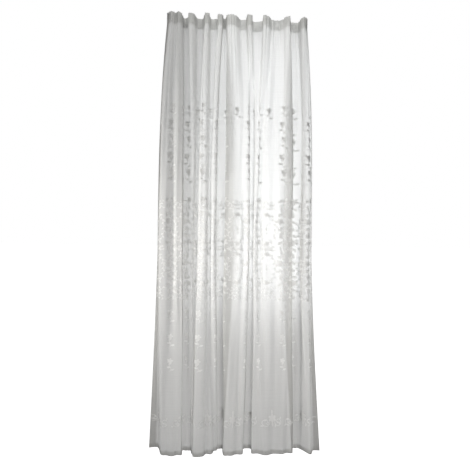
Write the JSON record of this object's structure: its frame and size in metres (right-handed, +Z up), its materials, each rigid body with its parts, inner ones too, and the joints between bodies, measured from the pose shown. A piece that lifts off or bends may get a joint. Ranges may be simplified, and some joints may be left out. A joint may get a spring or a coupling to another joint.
{
  "type": "sheer voile curtain",
  "caption": "Floor-length sheer curtain panel gathered on a heading tape, hanging in soft uneven vertical folds that open out to a narrow stitched hem.",
  "frame": {"origin": "middle of the top edge, on the line that the curtain hangs from", "axes": "+Z up along the drop, +X along the hung width to the right as seen from the front, the front of the cloth faces -Y"},
  "size_m": [0.9762, 0.1188, 2.45],
  "materials": {
    "voile": "sheer off-white polyester voile, plain weave, matt with a faint sheen, with tone-on-tone white embroidery",
    "tape": "woven off-white heading tape with gathering cords"
  },
  "bodies": {
    "root": {"voile_panel": "voile", "heading_tape": "tape"}
  },
  "joints": []
}
